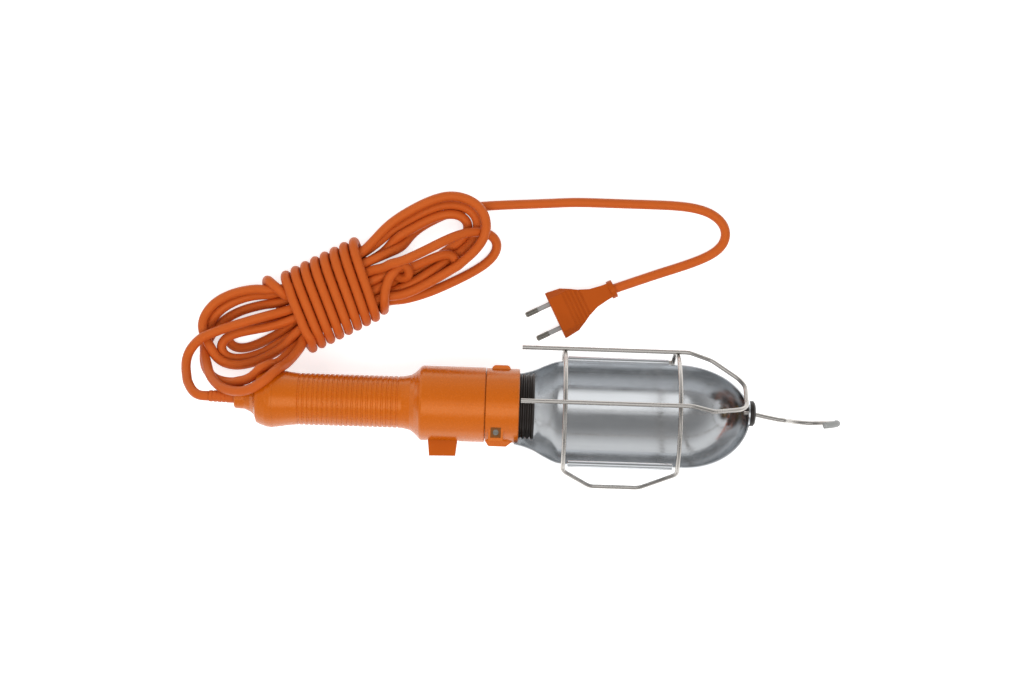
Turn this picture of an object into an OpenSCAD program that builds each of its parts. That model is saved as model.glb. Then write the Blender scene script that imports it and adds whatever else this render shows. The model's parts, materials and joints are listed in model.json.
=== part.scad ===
// Portable work light: a handled lampholder with a hinged wire guard over a
// half-shell reflector, a swivelling hanging hook and a hanked mains cord.
// +X runs along the lamp's axis from the grip to the hook, +Z is up, and the
// origin is the centre of the lampholder's mouth plane at the collar's front.

/* [Reflector] */
// Outer radius of the reflector's straight part
reflector_r = 43.6; // [40:0.2:48]
// Sheet thickness of the reflector
reflector_wall = 0.8; // [0.6:0.1:1.2]
// Distance from the collar's face to the straight part
reflector_start = 27; // [24:1:32]
// Length of the straight part
reflector_length = 86; // [70:1:110]
// Length of the rounded nose
nose_length = 48; // [40:1:60]
// Inner radius of the reflector's mouth beside the collar
throat_r = 29; // [27.5:0.5:31]
// Tilt of the reflector's opening about the lamp's axis, in degrees
opening_tilt = 43; // [30:1:50]
// Angle by which the near hem lies below the opening's plane, in degrees
near_hem_drop = 13; // [0:1:20]
// Outer diameter of the rolled hems along the opening
hem_d = 4.6; // [4.2:0.1:6]
// Radius of the boss that carries the hook
boss_r = 10; // [8:0.5:12]

/* [Guard] */
// Diameter of the guard wire
wire_d = 3; // [2.4:0.1:3.2]
// Height of the wire hoops over the opening
hoop_height = 37.6; // [32:0.2:44]
// Distance from the collar's face to the rear hoop
rear_hoop_x = 31; // [28:0.5:36]
// Distance between the two hoops
hoop_spacing = 78; // [66:0.5:100]
// Half of the distance between the two long wires
long_wire_half_gap = 24.5; // [18:0.5:28]
// How far the thumb bail hangs below the opening
bail_drop = 26; // [20:1:30]
// Running clearance of the hinge wire in its hem
hinge_clearance = 0.05; // [0.02:0.01:0.1]

/* [Hook] */
// Diameter of the hook wire
hook_wire_d = 3.2; // [2.6:0.1:4]
// Radius of the hook's bow
hook_bow_r = 18; // [14:1:26]
// Length of the hook's straight shank outside the boss
hook_shank = 21.3; // [12:0.1:30]
// Outer diameter of the sleeve on the hook's tip
hook_sleeve_d = 4.6; // [4.2:0.1:6]
// Running clearance of the hook in its boss
hook_clearance = 0.06; // [0.02:0.01:0.1]

/* [Handle] */
// Radius of the barrel round the lampholder
barrel_r = 26; // [25:0.5:29]
// Length of the barrel
barrel_length = 45; // [40:1:60]
// Length of the cone between grip and barrel
flare_length = 12.5; // [8:0.5:20]
// Radius of the grip
grip_r = 18; // [16:0.5:20]
// Length of the grip
grip_length = 90; // [80:1:130]
// Wall of the handle
handle_wall = 2.6; // [2:0.1:3]
// Distance between the grip's grooves
rib_pitch = 3.4; // [3:0.1:5]
// Number of grooves round the grip
rib_count = 21; // [10:1:24]
// Depth of the grooves
rib_depth = 0.5; // [0.3:0.1:1]

/* [Tail cap] */
// Largest radius of the tail cap
tail_r = 20.5; // [19:0.5:22]
// Length of the tail cap
tail_length = 27.6; // [25:0.2:34]
// Radius of the strain relief sleeve
relief_r = 4.4; // [4.2:0.1:5.5]
// Free length of the strain relief sleeve
relief_length = 17.9; // [14:0.1:30]

/* [Collar] */
// Length of the front collar
collar_length = 23; // [20:1:26]
// Step between collar and barrel
collar_step = 0.3; // [0.2:0.1:1]
// Reach of the clamping lug from the lamp's axis
lug_reach = 28.2; // [27.6:0.1:34]
// Width across flats of the square nut
nut_flats = 7; // [6:0.5:8]

/* [Lampholder] */
// Radius over the thread of the lampholder's skirt
holder_r = 22.8; // [22:0.1:22.8]
// Length of the skirt in front of the collar
holder_reach = 10.5; // [8:0.5:14]
// Inner radius of the screw shell that takes the bulb's cap
shell_bore_r = 13.45; // [13.3:0.05:13.6]
// Length of the screw shell
shell_length = 24; // [20:1:26]

/* [Switch] */
// Length of the rocker along the handle
rocker_length = 21.5; // [16:0.5:24]
// Width of the rocker
rocker_width = 12; // [9:0.5:14]
// Reach of the rocker from the lamp's axis
rocker_reach = 36.2; // [33:0.2:40]
// Clearance round the rocker
rocker_clearance = 0.5; // [0.4:0.1:1]

/* [Cord and plug] */
// Diameter of the cord
cord_d = 6.8; // [6:0.1:8]
// Width of the plug's face
plug_width = 35.3; // [34:0.1:36]
// Thickness of the plug
plug_thickness = 13.7; // [13:0.1:14.5]
// Length of the plug's body
plug_length = 44; // [38:1:50]
// Diameter of the plug's pins
pin_d = 4; // [3.9:0.05:4.1]
// Distance between the plug's pins
pin_spacing = 18.6; // [18:0.1:19.2]
// Free length of the plug's pins
pin_length = 19; // [18:0.5:20]

/* [Hidden] */
$fn = 96;

orange = "#d2641e";
zinc = "#b9bcbe";
black = "#26201d";
brass = "#c9a24a";
grey = "#a8a8a6";
cut = 1;                                   // overrun of cutting tools
seat = 0.02;                               // clearance between seated pieces
floor_z = -reflector_r;

// stations along the axis
collar_gap = 0.5;                          // joint between the collar and the barrel
barrel_front_x = -collar_length - collar_gap;
barrel_back_x = barrel_front_x - barrel_length;
grip_front_x = barrel_back_x - flare_length;
grip_back_x = grip_front_x - grip_length;
tail_joint_x = grip_back_x + 1;            // seam between the handle and its cap
tail_back_x = tail_joint_x - tail_length;
relief_end_x = tail_back_x - relief_length;
straight_end_x = reflector_start + reflector_length;
nose_x = straight_end_x + nose_length * sqrt(1 - pow(boss_r / reflector_r, 2));
front_hoop_x = rear_hoop_x + hoop_spacing;

// guard: each hoop is one arc over the opening, through both hem centres
wire_r = wire_d / 2;
hem_y = reflector_r + 1.9;
hoop_arc_r = (hem_y * hem_y + hoop_height * hoop_height) / (2 * hoop_height);
hoop_centre_z = hoop_height - hoop_arc_r;
hoop_half_angle = atan2(hem_y, -hoop_centre_z);
weld_overlap = 0.2;
long_wire_r = hoop_arc_r + wire_d - weld_overlap;
long_wire_z = hoop_centre_z + sqrt(pow(long_wire_r, 2) - pow(long_wire_half_gap, 2));
hem_bore_r = wire_r + hinge_clearance;
hem_end_gap = 1.6;
near_hem_r = reflector_r - 0.4;             // from the lamp's axis to the near hem's axis
near_hem_y = -near_hem_r * cos(near_hem_drop);
near_hem_z = -near_hem_r * sin(near_hem_drop);
hems = [[0, hem_y, 0], [0, near_hem_y, near_hem_z]];

// hook
hook_r = hook_wire_d / 2;
grommet_r = boss_r - 1.2;
grommet_length = 3.4;
boss_wall = 0.8;
hook_elbow_x = nose_x + boss_wall + grommet_length + hook_shank;
hook_head_r = hook_r + 2;
hook_head_length = 2;

// lampholder, inside the barrel and collar
bore_r = barrel_r - handle_wall;
shell_wall = 0.6;
base_length = 10;
shell_front_x = holder_reach - 5;
shell_back_x = shell_front_x - shell_length;
base_front_x = shell_back_x - seat;
base_back_x = base_front_x - base_length;
skirt_bore_r = shell_bore_r + shell_wall + seat;
thread_pitch = 3.1;
thread_depth = 1.2;

// switch, in the -Y side of the barrel
rocker_x = barrel_back_x + 5.5 + rocker_length / 2;
rocker_pivot_y = -bore_r + 3.2;
rocker_pin_r = 1.25;
switch_floor_y = rocker_pivot_y + 9;
switch_side = 1.6;
contact_x = [rocker_x - 6.2, rocker_x + 6.2];
contact_tail = 4;
contact_tail_y = switch_floor_y + contact_tail;

// plug
plug_centre = [24, 64];
plug_turn = 27;
plug_z = floor_z + plug_thickness / 2;
sleeve_length = 9.5;
sleeve_step = 0.2;                         // sleeve is that much thinner than the bare pin
pin_core_r = 1.5;
pin_root = 12;                             // length of the pin inside the body

// the cord's points: x, y, and the height of the centre above the floor
cord_r = cord_d / 2;
lead_route = [[-218, 0, 43], [-225, 3, 38], [-231, 8, 30], [-236, 16, 21], [-238, 25, 14],
              [-236, 34, 10], [-231, 41, 9], [-225, 45, 10]];
over_route = [[-219, 28, 15], [-219, 21, 27], [-216, 14, 41], [-210, 8, 51], [-202, 5, 59], [-193, 4, 64],
              [-184, 6, 68], [-176, 10.5, 68.5], [-170, 18.5, 62], [-165, 25, 48], [-161, 31, 34], [-157, 38, 24],
              [-151, 45, 18]];
tail_route = [[-24, 138, 12], [-16, 140, 8], [-6, 142, 5], [10, 144, 3.4], [36, 146, 3.4], [61, 146, 3.4],
              [86, 146, 3.4], [106, 146, 3.4], [122, 145, 3.4], [134, 142, 3.4], [143, 136, 3.4],
              [147, 128, 3.4], [145, 119, 3.4], [137, 112, 3.4], [121, 105, 3.4], [101, 98, 3.4],
              [82, 91, 5], [62.9, 83.8, 6.85]];
wraps_centre = [-134, 74];
wraps_turn = 28;
wraps_size = [66, 58, 29];
hank_height = 21;
hank_left_circles = [[-203, 48, 24.5]];    // x, y, radius
hank_right_circles = [[-48, 118, 29.5], [-72, 92, 13]];
hank_trim = 120;

// ---- helpers ----

// solid of revolution about the X axis from [x, radius] points
module lathe(outline) {
    rotate([0, 90, 0]) rotate_extrude() polygon([for (p = outline) [p[1], p[0]]]);
}

module tube_x(x0, x1, outer_r, inner_r) {
    translate([x0, 0, 0]) rotate([0, 90, 0]) difference() {
        cylinder(h = x1 - x0, r = outer_r);
        translate([0, 0, -cut]) cylinder(h = x1 - x0 + 2 * cut, r = inner_r);
    }
}

module rod_x(x0, x1, r) {
    translate([x0, 0, 0]) rotate([0, 90, 0]) cylinder(h = x1 - x0, r = r);
}

// wire swept through the points, each inner corner rounded over the bend length
function corner(a, b, c, bend) =
    let (p = b + unit(a - b) * bend, q = b + unit(c - b) * bend)
    [for (t = [0:0.25:1]) (1 - t) * (1 - t) * p + 2 * t * (1 - t) * b + t * t * q];
module bent_wire(points, r, bend = 4, sides = 12) {
    n = len(points);
    sweep(concat([points[0]], [for (i = [1:n - 2]) each corner(points[i - 1], points[i], points[i + 1], bend)],
                 [points[n - 1]]), r, sides);
}

module box(low, high) {
    translate(low) cube(high - low);
}

// turns a piece so that its +Z is the normal of the reflector's opening
module opening_frame() {
    rotate([-opening_tilt, 0, 0]) children();
}

module pan_screw(length, r, head_r, head_h) {
    difference() {
        union() {
            cylinder(h = length, r = r, $fn = 32);
            translate([0, 0, length]) cylinder(h = head_h, r1 = head_r, r2 = head_r * 0.8, $fn = 32);
        }
        translate([-head_r, -0.4, length + head_h * 0.5]) cube([2 * head_r, 0.8, head_h]);
    }
}

// cord sweep: a smooth line through the route's points, with rings across it
function smooth(a, b, c, d, t) =
    0.5 * (2 * b + (c - a) * t + (2 * a - 5 * b + 4 * c - d) * t * t + (3 * b - a - 3 * c + d) * t * t * t);
function unit(v) = v / norm(v);
function route_point(route, i) =
    i < 0 ? 2 * route[0] - route[1]
    : i >= len(route) ? 2 * route[len(route) - 1] - route[len(route) - 2]
    : route[i];
function cord_line(route, steps) =
    [for (i = [0:len(route) - 2]) for (k = [0:steps - 1])
        smooth(route_point(route, i - 1), route[i], route[i + 1], route_point(route, i + 2), k / steps),
     route[len(route) - 1]];
function ring(centre, along, sides, r) =
    let (side = unit(cross(along, [0, 0, 1])), up = cross(side, along))
    [for (k = [0:sides - 1]) let (a = 360 * k / sides) centre + r * (cos(a) * side + sin(a) * up)];

module sweep(line, r, sides) {
    n = len(line);
    rings = [for (i = [0:n - 1])
        ring(line[i], unit(line[min(i + 1, n - 1)] - line[max(i - 1, 0)]), sides, r)];
    polyhedron(
        points = [for (r = rings) each r],
        faces = [[for (k = [0:sides - 1]) k],
                 for (i = [0:n - 2]) for (k = [0:sides - 1])
                     each [[i * sides + k, (i + 1) * sides + k, (i + 1) * sides + (k + 1) % sides],
                           [i * sides + k, (i + 1) * sides + (k + 1) % sides, i * sides + (k + 1) % sides]],
                 [for (k = [sides - 1:-1:0]) (n - 1) * sides + k]]);
}

module cord_tube(route, steps = 1, sides = 8) {
    translate([0, 0, floor_z]) sweep(cord_line(route, steps), cord_r, sides);
}

// ---- handle ----

groove_w = 1.5;
ribs_x = grip_back_x + 18;

module handle() {
    color(orange) difference() {
        lathe([[tail_joint_x, 0], [tail_joint_x, tail_r - 0.3], [tail_joint_x + 2, tail_r - 0.5],
               [tail_joint_x + 10, grip_r + 0.7], [ribs_x - 1, grip_r],
               for (i = [0:rib_count - 1]) let (x = ribs_x + i * rib_pitch)
                   each [[x, grip_r], [x + 0.3, grip_r - rib_depth],
                         [x + groove_w - 0.3, grip_r - rib_depth], [x + groove_w, grip_r]],
               [grip_front_x, grip_r], [grip_front_x + flare_length * 0.45, grip_r + 1.2],
               [grip_front_x + flare_length * 0.7, grip_r + 3.4],
               [grip_front_x + flare_length * 0.88, barrel_r - 2.4], [barrel_back_x, barrel_r - 0.6],
               [barrel_back_x + 1.5, barrel_r], [barrel_front_x - 0.5, barrel_r],
               [barrel_front_x, barrel_r - 0.5], [barrel_front_x, 0]]);
        // the hollow: grip, cone and lampholder seat
        lathe([[tail_joint_x - cut, 0], [tail_joint_x - cut, grip_r - handle_wall],
               [grip_front_x + flare_length * 0.5, grip_r - handle_wall], [barrel_back_x + 3, bore_r],
               [barrel_front_x + cut, bore_r], [barrel_front_x + cut, 0]]);
        // window for the switch
        box([rocker_x - rocker_length / 2 - rocker_clearance, -barrel_r - cut,
             -rocker_width / 2 - rocker_clearance],
            [rocker_x + rocker_length / 2 + rocker_clearance, -bore_r + 3, rocker_width / 2 + rocker_clearance]);
        tail_screw_places() translate([0, 0, 8]) cylinder(h = 14, r = tail_screw_r + seat);
    }
    // bridge that the cord is clamped against
    color(orange) intersection() {
        box([clamp_x - 6, -grip_r, -cord_r - 6], [clamp_x + 6, grip_r, -cord_r - seat]);
        rod_x(clamp_x - 7, clamp_x + 7, grip_r - handle_wall + 0.5);
    }
}

clamp_x = grip_back_x + 24;
tail_screw_r = 1.5;

// two short screws, left and right of the seam, hold the cap's spigot
module tail_screw_places() {
    for (a = [90, 270]) translate([tail_joint_x + 5, 0, 0]) rotate([a, 0, 0]) children();
}

cap_x = tail_back_x + 14.8;                 // where the cap's neck widens
cap_wall = 2.2;
spigot_r = grip_r - handle_wall - seat;
spigot_end_x = tail_joint_x + 9;

module tail_cap() {
    color(orange) difference() {
        lathe([[tail_back_x, 0], [tail_back_x, relief_r + 3], [tail_back_x + 0.8, relief_r + 3.6],
               [tail_back_x + 7, relief_r + 3.9], [cap_x - 3.5, relief_r + 5.8], [cap_x - 1, tail_r - 8],
               [cap_x + 1, tail_r - 3], [cap_x + 3, tail_r - 2], [tail_joint_x - 5, tail_r - 0.4],
               [tail_joint_x - 1.5, tail_r], [tail_joint_x - seat, tail_r - 0.3],
               [tail_joint_x - seat, spigot_r], [spigot_end_x, spigot_r], [spigot_end_x, 0]]);
        lathe([[tail_back_x + 12, 0], [tail_back_x + 12, relief_r + 2.5], [cap_x + 4, spigot_r - cap_wall],
               [spigot_end_x + cut, spigot_r - cap_wall], [spigot_end_x + cut, 0]]);
        rod_x(tail_back_x - cut, tail_back_x + 13, relief_r + seat);
        tail_screw_places() translate([0, 0, 8]) cylinder(h = 14, r = tail_screw_r + seat);
    }
}

module tail_cap_screws() {
    color(zinc) tail_screw_places() translate([0, 0, grip_r - handle_wall - 3])
        pan_screw(tail_r - grip_r + handle_wall + 1.6, tail_screw_r, tail_screw_r, 0.4);
}

module strain_relief() {
    color(orange) difference() {
        union() {
            lathe([[relief_end_x, 0], [relief_end_x, relief_r - 0.5],
                   for (i = [0:3]) let (x = relief_end_x + 2 + i * 3)
                       each [[x, relief_r - 0.4 + i * 0.1], [x + 0.3, relief_r - 0.7 + i * 0.1],
                             [x + 1, relief_r - 0.7 + i * 0.1], [x + 1.3, relief_r - 0.4 + i * 0.1]],
                   [tail_back_x - seat, relief_r], [tail_back_x + 12, relief_r], [tail_back_x + 12, 0]]);
            rod_x(tail_back_x + 12 + seat, tail_back_x + 14, relief_r + 2);
            rod_x(tail_back_x + 11, tail_back_x + 13, relief_r);
        }
        rod_x(relief_end_x - cut, tail_back_x + 15, cord_r + seat);
    }
}

module cord_clamp() {
    color(black) difference() {
        box([clamp_x - 5, -11, -cord_r], [clamp_x + 5, 11, cord_r + 2.4]);
        rod_x(clamp_x - 6, clamp_x + 6, cord_r + seat);
        for (y = [-8, 8]) translate([clamp_x, y, -10]) cylinder(h = 20, r = 1.5 + seat, $fn = 32);
    }
}

module cord_clamp_screws() {
    color(zinc) for (y = [-8, 8])
        translate([clamp_x, y, -cord_r]) pan_screw(2 * cord_r + 2.4 + seat, 1.5, 2.8, 1.8);
}

// ---- front collar ----

lug_back_x = -collar_length + 2;
lug_half = 8;
nut_place = [-collar_length + 7.5, -barrel_r + 8];
nut_seat_z = barrel_r - 8.8;
tongue_y = -holder_r - 1.8;
tongue_t = 1;
tongue_back_x = -16.5;
reflector_screw_x = -12;
screw_head_r = 2.8;
screw_sink = 1.4;                          // depth of the sunk head in the lug

module front_collar() {
    color(orange) difference() {
        union() {
            lathe([[-collar_length, 0], [-collar_length, barrel_r - collar_step - 0.4],
                   [-collar_length + 0.4, barrel_r - collar_step], [-0.6, barrel_r - collar_step],
                   [0, barrel_r - collar_step - 0.6], [0, 0]]);
            // spigot into the barrel
            rod_x(barrel_front_x - 5, -collar_length + 1, bore_r - seat);
            // clamping lug with a cut front corner
            translate([0, 0, -lug_half]) linear_extrude(2 * lug_half) polygon([
                [-collar_length + 0.2, -18], [-collar_length + 0.2, -barrel_r + 1.5],
                [lug_back_x, -lug_reach + 0.8], [lug_back_x + 0.8, -lug_reach],
                [-8.3, -lug_reach], [-0.6, -lug_reach + 6.2], [-0.6, -18]]);
            // tower for the square nut
            box([nut_place[0] - nut_flats / 2 - 1.6, -barrel_r + 2, 6],
                [nut_place[0] + nut_flats / 2 + 1.6, nut_place[1] + nut_flats / 2 + 1.6, nut_seat_z + 3]);
            // low round tab on the far side
            translate([-16.5, barrel_r - 1, -5]) linear_extrude(10) hull() {
                circle(r = 3, $fn = 48);
                translate([7, 0]) circle(r = 3, $fn = 48);
            }
        }
        rod_x(barrel_front_x - 6, cut, holder_r + seat);
        // pocket for the nut
        translate([nut_place[0] - nut_flats / 2 - seat, nut_place[1] - nut_flats / 2 - seat, nut_seat_z])
            cube([nut_flats + 2 * seat, nut_flats + 2 * seat, 10]);
        translate([nut_place[0], nut_place[1], 6]) cylinder(h = 20, r = 2 + seat);
        // slot and cross hole for the reflector's tongue
        box([tongue_back_x - 0.2, tongue_y - tongue_t / 2 - 0.1, -5.2], [cut, tongue_y + tongue_t / 2 + 0.1, 5.2]);
        translate([reflector_screw_x, -lug_reach - cut, 0]) rotate([-90, 0, 0]) {
            cylinder(h = lug_reach + cut + tongue_y + 1.6, r = 1.75 + seat);
            cylinder(h = cut + screw_sink, r = screw_head_r + 0.2);
        }
    }
}

module collar_nut() {
    color(brass) translate([nut_place[0], nut_place[1], nut_seat_z]) difference() {
        translate([-nut_flats / 2, -nut_flats / 2, 0]) cube([nut_flats, nut_flats, 2.6]);
        translate([0, 0, -cut]) cylinder(h = 5, r = 2 + seat);
    }
}

module collar_screw() {
    tip_z = sqrt(pow(holder_r - 0.6, 2) - pow(abs(nut_place[1]) - 2, 2)) + 0.1;
    color(zinc) translate([nut_place[0], nut_place[1], tip_z]) difference() {
        cylinder(h = nut_seat_z + 2.4 - tip_z, r = 2);
        translate([-3, -0.4, nut_seat_z + 1.6 - tip_z]) cube([6, 0.8, 2]);
    }
}

// ---- lampholder ----

module lampholder_skirt() {
    crests = floor(holder_reach / thread_pitch);
    color(black) difference() {
        lathe([[base_back_x + 2, 0], [base_back_x + 2, holder_r - 0.6], [-1, holder_r - 0.6], [-1, holder_r],
               for (i = [0:crests - 1]) let (x = i * thread_pitch)
                   each [[x + 0.4, holder_r], [x + 1.2, holder_r - thread_depth],
                         [x + 1.9, holder_r - thread_depth], [x + 2.7, holder_r]],
               [holder_reach - 0.6, holder_r], [holder_reach, holder_r - 0.8], [holder_reach, 0]]);
        rod_x(base_back_x + 2 - cut, base_front_x, holder_r - 2.6);
        rod_x(base_front_x - cut, shell_front_x, skirt_bore_r);
        lathe([[shell_front_x - seat, 0], [shell_front_x - seat, skirt_bore_r + 0.3],
               [holder_reach + seat, skirt_bore_r + 4], [holder_reach + cut, 0]]);
    }
}

terminal_y = 11;

module lampholder_base() {
    color("ivory") difference() {
        rod_x(base_back_x, base_front_x, holder_r - 2.6 - seat);
        rod_x(base_front_x - 2, base_front_x + cut, 6);
        for (y = [-terminal_y, terminal_y]) translate([0, y, 0]) {
            rod_x(base_back_x - cut, base_front_x + cut, 1.25 + seat);
            box([base_back_x - cut, -3, -4], [base_back_x + 2.5, 3, 4]);
        }
        rod_x(base_back_x - cut, base_front_x + cut, 1.4 + seat);
    }
}

module screw_shell() {
    color(brass) difference() {
        union() {
            tube_x(shell_back_x, shell_front_x, shell_bore_r + shell_wall, shell_bore_r);
            tube_x(shell_back_x, shell_back_x + 0.6, shell_bore_r + shell_wall, 8);
        }
        rod_x(shell_back_x - cut, shell_back_x + 0.1, 1);
    }
}

module centre_contact() {
    color(brass) {
        rod_x(base_back_x + 1, base_front_x - 0.1, 1.4);
        rod_x(base_front_x - 0.1, base_front_x + 0.5, 4.5);
    }
}

module terminal_screws() {
    color(zinc) for (y = [-terminal_y, terminal_y]) translate([base_front_x - 1, y, 0])
        rotate([0, -90, 0]) pan_screw(base_length - 3.5, 1.25, 2.4, 1.4);
}

wire_core_r = 1.1;

// from the cord to one contact of the switch, and from the other to the terminal
module line_wire() {
    color("saddlebrown") {
        bent_wire([[clamp_x + 8.2, -1.6, 0], [grip_front_x - 6, -5, 0], [contact_x[0] - 9, -6, 0],
                   [contact_x[0], contact_tail_y + wire_core_r + 2, 0],
                   [contact_x[0], contact_tail_y + seat, 0]], wire_core_r, 2);
        bent_wire([[contact_x[1], contact_tail_y + seat, 0],
                   [contact_x[1], contact_tail_y + wire_core_r + 2, 0],
                   [base_back_x - 9, -8, 0], [base_back_x - 1, -terminal_y, 0]], wire_core_r, 2);
    }
}

module neutral_wire() {
    color("royalblue") bent_wire([
        [clamp_x + 8.2, 1.6, 0], [grip_front_x - 6, 5, 0], [barrel_back_x + 2, 12, 0],
        [base_back_x - 6, 12, 0], [base_back_x - 1, terminal_y, 0]], wire_core_r);
}

// ---- switch ----

switch_low_x = rocker_x - rocker_length / 2 - rocker_clearance;
switch_high_x = rocker_x + rocker_length / 2 + rocker_clearance;
rocker_half = rocker_width / 2;

module switch_frame() {
    side = rocker_half + rocker_clearance;
    color(black) difference() {
        box([switch_low_x - switch_side, -bore_r + 4, -side - switch_side],
            [switch_high_x + switch_side, switch_floor_y + switch_side, side + switch_side]);
        box([switch_low_x, -bore_r, -side], [switch_high_x, switch_floor_y, side]);
        translate([rocker_x, rocker_pivot_y, -side - switch_side - cut])
            cylinder(h = 2 * (side + switch_side + cut), r = rocker_pin_r + 0.01);
        for (x = contact_x) translate([x, switch_floor_y - cut, 0]) rotate([-90, 0, 0])
            cylinder(h = switch_side + 2 * cut, r = 0.9 + seat, $fn = 32);
    }
}

module rocker_pin() {
    side = rocker_half + rocker_clearance + switch_side;
    color(zinc) translate([rocker_x, rocker_pivot_y, -side]) cylinder(h = 2 * side, r = rocker_pin_r);
}

module switch_rocker() {
    half = rocker_length / 2;
    color(orange) difference() {
        translate([rocker_x, 0, -rocker_half]) linear_extrude(2 * rocker_half) polygon([
            [-half + 1.6, rocker_pivot_y + 2], [-half + 0.6, rocker_pivot_y - 1.5], [-half + 0.6, -barrel_r + 1],
            [-half + 1.75, -rocker_reach], [half - 1.75, -rocker_reach + 0.4],
            [half - 0.6, -barrel_r + 1], [half - 0.6, rocker_pivot_y - 1.5], [half - 1.6, rocker_pivot_y + 2]]);
        translate([rocker_x, rocker_pivot_y, -rocker_half - cut])
            cylinder(h = 2 * rocker_half + 2 * cut, r = rocker_pin_r + 0.05);
    }
}

rocker_back_y = rocker_pivot_y + 2;
bar_y = rocker_back_y + 1.2;
contact_gap = 1.3;

module contact_bar() {
    color(brass) box([rocker_x - 7.6, rocker_back_y + seat, -2.5], [rocker_x + 7.6, bar_y, 2.5]);
}

module switch_spring() {
    color(zinc) translate([rocker_x, switch_floor_y - seat, 0]) rotate([90, 0, 0])
        difference() {
            cylinder(h = switch_floor_y - bar_y - 0.5, r = 2.2);
            translate([0, 0, -cut]) cylinder(h = 12, r = 1.5);
        }
}

module switch_contacts() {
    color(brass) for (x = contact_x) translate([x, switch_floor_y - seat, 0])
        rotate([90, 0, 0]) {
            cylinder(h = switch_floor_y - bar_y - contact_gap, r = 1.4, $fn = 32);
            translate([0, 0, -contact_tail]) cylinder(h = contact_tail, r = 0.9, $fn = 32);
        }
}

// ---- reflector ----

nose_steps = 14;

function nose_outline(a, r, from, to) =
    [for (i = [0:nose_steps]) let (t = from + (to - from) * i / nose_steps)
        [straight_end_x + a * sin(t), r * cos(t)]];

module reflector_outline() {
    boss_t = acos(boss_r / reflector_r);
    inner_r = reflector_r - reflector_wall;
    outer = concat([[-3, throat_r + reflector_wall], [reflector_start - 16, throat_r + 5.5],
                    [reflector_start - 4, reflector_r - 2.2], [reflector_start, reflector_r]],
                   nose_outline(nose_length, reflector_r, 0, boss_t));
    inner = concat(nose_outline(nose_length - reflector_wall, inner_r, boss_t, 0),
                   [[reflector_start, inner_r], [reflector_start - 4, inner_r - 2.2],
                    [reflector_start - 16, throat_r + 4.7], [-3, throat_r]]);
    polygon([for (p = concat(outer, inner)) [p[1], p[0]]]);
}

module reflector() {
    color(zinc) difference() {
        union() {
            opening_frame() {
                rotate([0, 90, 0]) rotate([0, 0, near_hem_drop - 90]) rotate_extrude(angle = 180 - near_hem_drop)
                    reflector_outline();
                for (hem = hems) translate(hem)
                    rod_x(rear_hoop_x + wire_r + hem_end_gap, front_hoop_x - wire_r - hem_end_gap, hem_d / 2);
            }
            // round boss that carries the hook
            rod_x(nose_x - reflector_wall, nose_x + boss_wall, boss_r);
            // tongue into the collar's lug
            box([tongue_back_x, tongue_y - tongue_t / 2, -5], [-2, tongue_y + tongue_t / 2, 5]);
            box([-3, -throat_r - reflector_wall / 2, -5], [-2, tongue_y + tongue_t / 2, 5]);
        }
        opening_frame() for (hem = hems) translate(hem)
            rod_x(rear_hoop_x - cut, front_hoop_x + cut, hem_bore_r);
        rod_x(nose_x - 3, nose_x + boss_wall + cut, hook_r + hook_clearance);
        translate([reflector_screw_x, -40, 0]) rotate([-90, 0, 0]) cylinder(h = 20, r = 1.75 + seat);
    }
}

module reflector_screw() {
    color(zinc) translate([reflector_screw_x, tongue_y + 1.5, 0]) rotate([90, 0, 0])
        pan_screw(lug_reach - screw_sink + tongue_y + 1.5 + seat, 1.75, screw_head_r, screw_sink - 0.2);
}

// ---- hook ----

module hook_grommet() {
    color(black) difference() {
        lathe([[nose_x + boss_wall + seat, 0], [nose_x + boss_wall + seat, grommet_r],
               [nose_x + boss_wall + grommet_length - 1.2, grommet_r],
               [nose_x + boss_wall + grommet_length, grommet_r - 1.6], [nose_x + boss_wall + grommet_length, 0]]);
        rod_x(nose_x, nose_x + 20, hook_r + hook_clearance);
    }
}

hook_centre_x = hook_elbow_x + hook_bow_r;
hook_tip_angle = 66;

module hook() {
    color(zinc) {
        rod_x(nose_x - reflector_wall - 0.3 - hook_head_length, hook_elbow_x, hook_r);
        rod_x(nose_x - reflector_wall - 0.3 - hook_head_length, nose_x - reflector_wall - 0.3, hook_head_r);
        translate([hook_elbow_x, 0, 0]) sphere(r = hook_r + 0.03, $fn = 48);
        translate([hook_centre_x, 0, 0]) rotate([90, 0, 0]) rotate([0, 0, -180])
            rotate_extrude(angle = 180 + hook_tip_angle) translate([hook_bow_r, 0]) circle(r = hook_r, $fn = 48);
    }
}

module hook_sleeve() {
    color(grey) translate([hook_centre_x, 0, 0]) rotate([90, 0, 0]) difference() {
        rotate_extrude(angle = hook_tip_angle + 4) translate([hook_bow_r, 0]) circle(r = hook_sleeve_d / 2, $fn = 48);
        rotate([0, 0, -1]) rotate_extrude(angle = hook_tip_angle + 1)
            translate([hook_bow_r, 0]) circle(r = hook_r + seat, $fn = 48);
    }
}

// ---- wire guard, drawn with the opening's normal up ----

// arc from the far hem over the opening, down past the near hem
module hoop(x) {
    translate([x, 0, hoop_centre_z]) rotate([0, 90, 0])
        rotate([0, 0, 180 - hoop_half_angle]) rotate_extrude(angle = hoop_half_angle + 90)
            translate([hoop_arc_r, 0]) circle(r = wire_r, $fn = 48);
}

module guard_hoops() {
    color(zinc) opening_frame() {
        hoop(rear_hoop_x);
        hoop(front_hoop_x);
        // hinge run, turning inside the far hem
        translate([0, hem_y, 0]) rod_x(rear_hoop_x, front_hoop_x, wire_r);
        for (x = [rear_hoop_x, front_hoop_x]) translate([x, hem_y, 0]) sphere(r = wire_r + 0.02, $fn = 48);
    }
}

// thumb bail below the near hem, from hoop end to hoop end, leaning outwards
bail_lean = 7;
bail_side = 3.4;                           // straight part below each hoop's end

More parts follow.
